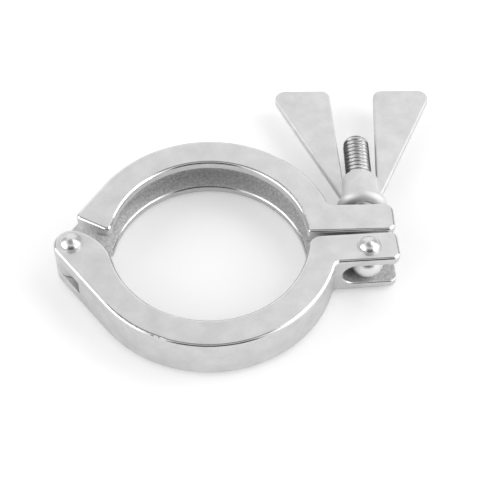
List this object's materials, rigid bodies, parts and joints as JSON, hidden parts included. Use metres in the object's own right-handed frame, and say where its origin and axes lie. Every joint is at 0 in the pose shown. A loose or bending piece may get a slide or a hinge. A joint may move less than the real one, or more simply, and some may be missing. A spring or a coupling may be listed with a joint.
{
  "type": "sanitary hinged clamp",
  "caption": "Hinged two-half ring clamp with a V groove inside, closed by a swinging eye bolt with a wing nut, for joining sanitary ferrules.",
  "frame": {"origin": "centre of the front half's arcs at the ring's mid height", "axes": "+Z along the axis of the tube that the clamp goes round, +X from the ring to the clasp, +Y to the half that the nut presses on"},
  "size_m": [0.1181, 0.0977, 0.0177],
  "materials": {
    "cast_front": "cast stainless steel, tumbled to a satin sheen",
    "cast_back": "cast stainless steel, tumbled to a satin sheen",
    "pin": "bright stainless steel",
    "bolt": "bright turned stainless steel",
    "nut": "cast stainless steel, satin"
  },
  "bodies": {
    "front": {"front_half": "cast_front", "hinge_pin": "pin", "bolt_pin": "pin"},
    "back": {"back_half": "cast_back"},
    "bolt": {"eye_bolt": "bolt"},
    "nut": {"wing_nut": "nut"}
  },
  "joints": [
    {"name": "half_hinge", "type": "hinge", "parent": "front", "child": "back", "pos_m": [-0.0397, 0, 0], "axis": [0, 0, 1], "range_deg": [0, 14]},
    {"name": "bolt_swing", "type": "hinge", "parent": "front", "child": "bolt", "pos_m": [0.0456, -0.0069, 0], "axis": [0, 0, 1], "range_deg": [-180, 0]},
    {"name": "nut_travel", "type": "slide", "parent": "bolt", "child": "nut", "axis": [0.0558, 0.9984, 0], "range_m": [0, 0.023]}
  ],
  "couplings": [
    {"joint": "nut_travel", "follows": "half_hinge", "m_per_rad": 0.0929}
  ]
}
